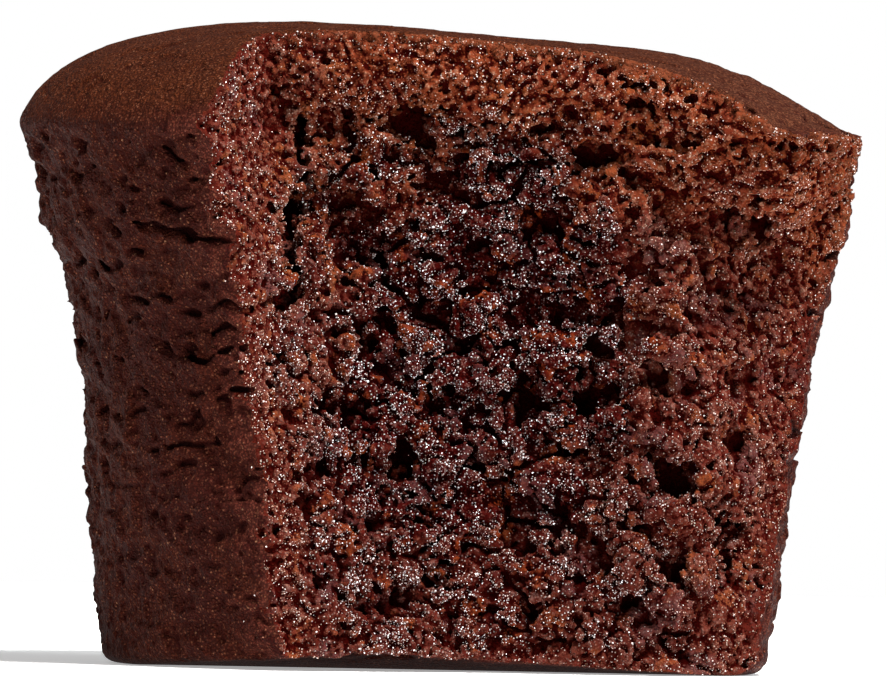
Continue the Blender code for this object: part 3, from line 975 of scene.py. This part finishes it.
# Painted shade for the gaps and hollows between clumps and granules, dry and moist
DRY_PAINTED_GAP_SHADE = (0.026, 0.0014, 0.0010)
MOIST_PAINTED_GAP_SHADE = (0.0055, 0.0003, 0.0003)
DRY_BROWN = (0.104, 0.0245, 0.0155)
BROWNED = (0.176, 0.0345, 0.0130)
MOIST_BROWN = (0.040, 0.0030, 0.0024)
# Painted light on the tops of clumps and granules
DRY_PAINTED_TOP_LIGHT = (0.190, 0.0860, 0.0660)
BROWNED_PAINTED_TOP_LIGHT = (0.325, 0.1450, 0.0880)
MOIST_PAINTED_TOP_LIGHT = (0.130, 0.0480, 0.0400)
DRY_RED = (0.092, 0.0110, 0.0070)
MOIST_RED = (0.028, 0.0014, 0.0013)
# Painted glow: orange light as if shining through thin crumb
DRY_PAINTED_GLOW = (0.200, 0.0480, 0.0140)
MOIST_PAINTED_GLOW = (0.190, 0.0300, 0.0070)
DRY_FILM = (0.085, 0.0320, 0.0320)
MOIST_FILM = (0.058, 0.0190, 0.0190)
EDGE_BROWN = (0.062, 0.0080, 0.0050)
BROWNED_EDGE = (0.130, 0.0340, 0.0150)
# Painted glints: pale specks for light caught on sugar in the crumb
DRY_PAINTED_GLINT = (0.54, 0.41, 0.35)
MOIST_PAINTED_GLINT = (0.54, 0.49, 0.49)
# Mottling, as above
RUDDY_CRUMB = (0.45, 4.0, 0.42, 0.60)
PAINTED_GLOW_PATCHES = (0.6, 2.0, 0.54, 0.68)
DUSTY_CRUMB = (0.37, 2.0, 0.56, 0.66)
RAGGED_EDGE = (1.1, 4.0, 0.25, 0.75)
CRUMB_SHEEN = {
    "Roughness": 0.6,
    "Specular IOR Level": 0.0,
    "Subsurface Weight": 0.15,
    "Subsurface Radius": (1.0, 0.3, 0.15),
    "Subsurface Scale": 0.4 * MM,
}


def crumb_material():
    material, tree, shader = new_material("torn_crumb", CRUMB_SHEEN)
    where = add_node(tree, "TexCoord").outputs["Object"]
    moist = mark_value(tree, "moist")
    browned = mark_value(tree, "under_crown")
    # The painted shade for gaps and hollows
    painted_gap_shade = blend_colours(tree, moist, DRY_PAINTED_GAP_SHADE, MOIST_PAINTED_GAP_SHADE)
    dry_mid = blend_colours(tree, browned, DRY_BROWN, BROWNED)
    # The painted light for the tops of clumps and granules, dry and then with the moist
    dry_painted_light = blend_colours(tree, browned, DRY_PAINTED_TOP_LIGHT, BROWNED_PAINTED_TOP_LIGHT)
    mid = blend_colours(tree, moist, dry_mid, MOIST_BROWN)
    # light is the painted light for the tops of clumps and granules
    light = blend_colours(tree, moist, dry_painted_light, MOIST_PAINTED_TOP_LIGHT)
    red = blend_colours(tree, moist, DRY_RED, MOIST_RED)
    painted_glow_colour = blend_colours(tree, moist, DRY_PAINTED_GLOW, MOIST_PAINTED_GLOW)
    painted_glint_colour = blend_colours(tree, moist, DRY_PAINTED_GLINT, MOIST_PAINTED_GLINT)
    coarse_grain = use_effect(tree, granules, {"Place": where, "Per Metre": 2.7 / MM})
    fine_grain = use_effect(tree, granules, {"Place": where, "Per Metre": 6.0 / MM})
    tops = between(tree, mark_value(tree, "small_hollow"), 0.68, 0.32)
    standing = combine(tree, "ADD", product(tree, tops, 0.5), product(tree, fine_grain["Height"], 0.3))
    standing = combine(tree, "ADD", standing, product(tree, coarse_grain["Height"], 0.2))
    ruddy = mottled(tree, where, *RUDDY_CRUMB)
    mid = blend_colours(tree, product(tree, ruddy, 0.6), mid, red)
    # Painted shade where the surface lies low between clumps and granules
    colour = blend_colours(tree, between(tree, standing, 0.2, 0.6), painted_gap_shade, mid)
    # Painted light on the tops of clumps and granules, more on those whose random tone is high
    tones = combine(tree, "ADD", coarse_grain["Tone"], fine_grain["Tone"])
    painted_top_light = product(tree, between(tree, tones, 0.5, 1.4), between(tree, standing, 0.5, 0.85))
    colour = blend_colours(tree, painted_top_light, colour, light)
    # Painted glow of light through thin crumb, in patches on the parts that stand out
    painted_glow = mottled(tree, where, *PAINTED_GLOW_PATCHES)
    painted_glow = product(tree, painted_glow, between(tree, standing, 0.3, 0.7), 0.8)
    colour = blend_colours(tree, painted_glow, colour, painted_glow_colour)
    film = product(tree, mottled(tree, where, *DUSTY_CRUMB), between(tree, standing, 0.2, 0.6), 0.6)
    film = product(tree, film, combine(tree, "SUBTRACT", 1.0, browned))
    film_colour = blend_colours(tree, moist, DRY_FILM, MOIST_FILM)
    colour = blend_colours(tree, film, colour, film_colour)
    ragged = product(tree, mottled(tree, where, *RAGGED_EDGE), 1.2)
    from_skin = combine(tree, "ADD", mark_value(tree, "from_skin"), ragged)
    edge_colour = blend_colours(tree, browned, EDGE_BROWN, BROWNED_EDGE)
    colour = blend_colours(tree, between(tree, from_skin, 1.5, 0.4), colour, edge_colour)
    # Painted shade in the hollows, near black in the moist middle
    colour = shaded(tree, colour, painted_gap_shade, "hollow", 0.50, 0.70)
    colour = shaded(tree, colour, painted_gap_shade, "wide_hollow", 0.54, 0.78)
    # Painted glints: pale specks only where the crumb is open, which also raise the bumps
    in_open = between(tree, mark_value(tree, "hollow"), 0.64, 0.44)
    in_open = product(tree, in_open, between(tree, mark_value(tree, "wide_hollow"), 0.68, 0.48))
    share = add_node(tree, "MapRange", {"Value": moist, "To Min": 0.22, "To Max": 0.44})
    values = {"Place": where, "Per Metre": 6.0 / MM, "Size": 0.36, "Share": share.outputs["Result"]}
    painted_glints = product(tree, use_effect(tree, specks, values)["Mask"], in_open)
    colour = blend_colours(tree, painted_glints, colour, painted_glint_colour)
    tree.links.new(colour, shader.inputs["Base Color"])
    grain_height = combine(tree, "ADD", coarse_grain["Height"], fine_grain["Height"])
    height = combine(tree, "ADD", product(tree, grain_height, 0.5), product(tree, painted_glints, 0.4))
    bump = add_node(tree, "Bump", {"Height": height, "Strength": 1.0, "Distance": 0.2 * MM})
    tree.links.new(bump.outputs["Normal"], shader.inputs["Normal"])
    return material


torn_crumb = crumb_material()
dry_faces = torn_faces & (face_moisture <= 0.5)
moist_faces = torn_faces & (face_moisture > 0.5)
at_left = centres[:, 0] < RIDGE_SIDE_X
crumb_parts = {
    "dry_crumb_left": dry_faces & at_left,
    "dry_crumb_upper_right": dry_faces & ~at_left & (centres[:, 2] > RIGHT_HALF_Z),
    "dry_crumb_lower_right": dry_faces & ~at_left & (centres[:, 2] <= RIGHT_HALF_Z),
    "moist_crumb_upper": moist_faces & (centres[:, 2] > MOIST_HALF_Z),
    "moist_crumb_lower": moist_faces & (centres[:, 2] <= MOIST_HALF_Z),
}
for name, chosen in crumb_parts.items():
    made = piece(name, chosen)
    made.data.materials.append(torn_crumb)


# Loose grains on the torn face: sugar and cocoa that came free when the cake tore, lying where the crumb is
# open to the air and more where it faces up. Some are dull crumb colour; the rest are painted glints, tan
# and white on the dry crumb and grey and white on the moist crumb.
DRY_COUNT = 18000
DRY_SIZES = (0.028, 0.058)
MOIST_COUNT = 24500
MOIST_SIZES = (0.028, 0.066)
FRINGE_DEPTH = 0.9
FRINGE_CHANCE = 0.1
# Where the crumb counts as closed in and as open, by how much cake is near and farther round it
OPEN_NEAR = (0.66, 0.42)
OPEN_AROUND = (0.64, 0.44)
HIDDEN_CHANCE = 0.02
CLUSTER_SIZE = 0.9
# Chances: the least, and where it begins to rise and is full
CLUSTERS = (0.08, -0.25, 0.4)
FACING_UP = (0.35, -0.5, 0.3)
GRAIN_STRETCH = (0.7, 1.2)
GRAIN_LIFT = 0.4
GRAIN_SCATTER = 0.03
DRY_DULL = (0.270, 0.1050, 0.0640)
# Painted glints: the dimmer and the white tones of the grains
DRY_PAINTED_DIM_GLINT = (0.480, 0.290, 0.225)
DRY_PAINTED_WHITE_GLINT = (0.90, 0.80, 0.78)
MOIST_DULL = (0.120, 0.0400, 0.0320)
MOIST_PAINTED_DIM_GLINT = (0.440, 0.360, 0.350)
MOIST_PAINTED_WHITE_GLINT = (0.95, 0.95, 1.0)
GRAIN_SHEEN = {"Roughness": 0.25}


def strewn_grains(name, chance, count, sizes, seed):
    """Many small pointed grains in one mesh, on the open parts of the faces that have a chance."""
    draw = np.random.default_rng(seed)
    chosen = np.flatnonzero((chance > 0.0) & whole_faces)
    open_air = smooth_step(*OPEN_NEAR, sample(hollow_field, centres[chosen]))
    open_air *= smooth_step(*OPEN_AROUND, sample(wide_hollow_field, centres[chosen]))
    clusters = rising(*CLUSTERS, soft_noise(centres[chosen] / CLUSTER_SIZE, seed))
    # More grains, and so more painted glints, where the face looks up towards the key light
    upward = rising(*FACING_UP, facing[chosen, 2])
    chance = chance[chosen] * (HIDDEN_CHANCE + open_air) * clusters * upward
    chosen = draw.choice(chosen, count, replace=False, p=chance / chance.sum())
    grain = bmesh.new()
    bmesh.ops.create_uvsphere(grain, u_segments=4, v_segments=2, radius=1.2)
    grain_points, grain_corners = points_and_corners(grain)
    grain.free()
    turn = np.linalg.qr(draw.normal(size=(count, 3, 3)))[0]
    size = sizes[0] + (sizes[1] - sizes[0]) * draw.random(count) ** 2
    stretch = size[:, None] * draw.uniform(*GRAIN_STRETCH, (count, 3))
    shape = np.einsum("gij,gpj->gpi", turn, grain_points[None] * stretch[:, None])
    middle = centres[chosen] + facing[chosen] * size[:, None] * GRAIN_LIFT
    middle = middle + draw.normal(0.0, GRAIN_SCATTER, (count, 3))
    at = shape + middle[:, None]
    corners = grain_corners[None].astype(np.int64) + np.arange(count)[:, None, None] * len(grain_points)
    flipped = np.linalg.det(turn) < 0.0
    corners[flipped] = corners[flipped][:, :, ::-1]
    # Fewer painted glints on the right and low in the middle, more at the far left
    duller = 0.10 * smooth_step(6.0, 12.0, middle[:, 0]) - 0.03 * smooth_step(-6.0, -9.0, middle[:, 0])
    duller += 0.08 * smooth_step(22.0, 14.0, middle[:, 2]) * smooth_step(4.0, 8.0, middle[:, 2])
    marks = {"tone": draw.random(count) - duller, "moist": moisture(middle.astype(np.float32))}
    marks = {mark: np.repeat(values, len(grain_points)) for mark, values in marks.items()}
    return dressing(name, at.reshape(-1, 3), corners.reshape(-1, 3), marks)


def grain_material():
    """Grains from dull crumb colour to painted glints, each of its own tone: tan and white glints where the
    crumb is dry, grey and white where moist.
    """
    material, tree, shader = new_material("grains_with_painted_glints", GRAIN_SHEEN)
    tone = mark_value(tree, "tone")
    moist = mark_value(tree, "moist")
    dull = blend_colours(tree, moist, DRY_DULL, MOIST_DULL)
    dim_glint = blend_colours(tree, moist, DRY_PAINTED_DIM_GLINT, MOIST_PAINTED_DIM_GLINT)
    white_glint = blend_colours(tree, moist, DRY_PAINTED_WHITE_GLINT, MOIST_PAINTED_WHITE_GLINT)
    colour = blend_colours(tree, between(tree, tone, 0.35, 0.60), dull, dim_glint)
    colour = blend_colours(tree, between(tree, tone, 0.60, 0.90), colour, white_glint)
    tree.links.new(colour, shader.inputs["Base Color"])
    return material


grains_with_painted_glints = grain_material()
fringe_faces = ~torn_faces & (under_tear < FRINGE_DEPTH)
dry_chance = dry_faces * (0.8 + 0.7 * smooth_step(-4.0, -8.0, centres[:, 0])) + FRINGE_CHANCE * fringe_faces
dry_chance *= 1.0 - 0.5 * smooth_step(24.0, 31.0, centres[:, 2]) * smooth_step(-6.0, -8.0, centres[:, 0])
dry_grains = strewn_grains("dry_grains", dry_chance, DRY_COUNT, DRY_SIZES, 101)
moist_grains = strewn_grains("moist_grains", 1.0 * moist_faces, MOIST_COUNT, MOIST_SIZES, 102)
dry_grains.data.materials.append(grains_with_painted_glints)
moist_grains.data.materials.append(grains_with_painted_glints)

# The studio: a plain pale floor, a large soft light high in front and two weaker ones at the sides, and a
# long lens a metre away, level with the middle of the cake.
FLOOR_SIZE = 0.32
FLOOR_DROP = 0.00002
FLOOR_SHEEN = {
    "Base Color": (0.94, 0.94, 0.94, 1.0),
    "Roughness": 0.9,
    "Emission Color": (1.0, 1.0, 1.0, 1.0),
    "Emission Strength": 0.35,
}
LAMP_AIM = Vector((0.0, 0.0, 0.018))
SKY_LIGHT = 0.22
EYE_DISTANCE = 1.0
EYE_X = 0.00023
EYE_HEIGHT = 0.01826
EYE_ROLL = -1.1
SEEN_WIDTH = 0.05031
SENSOR_WIDTH = 36.0
floor_shape = bmesh.new()
bmesh.ops.create_grid(floor_shape, x_segments=1, y_segments=1, size=FLOOR_SIZE)
floor_mesh = bpy.data.meshes.new("floor")
floor_shape.to_mesh(floor_mesh)
floor_shape.free()
floor = placed("floor", floor_mesh)
floor.location.z = -FLOOR_DROP
floor.data.materials.append(new_material("floor", FLOOR_SHEEN)[0])

# Lights: name, place, width, power, tint
LIGHTS = (
    ("key_light", (0.20, -0.33, 0.67), 0.12, 12.5, (1.0, 0.98, 0.95)),
    ("fill_light", (-0.60, -0.50, 0.25), 0.25, 0.7, (1.0, 1.0, 1.0)),
    ("right_light", (0.60, -0.10, 0.20), 0.20, 2.0, (0.92, 0.96, 1.0)),
)
for name, place, size, power, tint in LIGHTS:
    light = bpy.data.lights.new(name, "AREA")
    light.size = size
    light.energy = power
    light.color = tint
    lamp = placed(name, light)
    lamp.location = place
    lamp.rotation_euler = (LAMP_AIM - Vector(place)).to_track_quat("-Z", "Y").to_euler()

world = bpy.data.worlds.new("studio")
world.use_nodes = True
sky = world.node_tree
seen = add_node(sky, "LightPath").outputs["Is Camera Ray"]
strength = add_node(sky, "MapRange", {"Value": seen, "To Min": SKY_LIGHT, "To Max": 1.0})
sky.nodes["Background"].inputs["Color"].default_value = (1.0, 1.0, 1.0, 1.0)
sky.links.new(strength.outputs["Result"], sky.nodes["Background"].inputs["Strength"])
bpy.context.scene.world = world
bpy.context.scene.view_settings.view_transform = "Standard"

camera = bpy.data.cameras.new("camera")
camera.sensor_width = SENSOR_WIDTH
camera.lens = SENSOR_WIDTH * EYE_DISTANCE / SEEN_WIDTH
camera.clip_end = 20.0
eye = placed("camera", camera)
eye.location = (EYE_X + CAKE_SHIFT.x * MM, -EYE_DISTANCE + CAKE_SHIFT.y * MM, EYE_HEIGHT)
eye.rotation_euler = (math.radians(90.0), math.radians(EYE_ROLL), 0.0)
bpy.context.scene.camera = eye
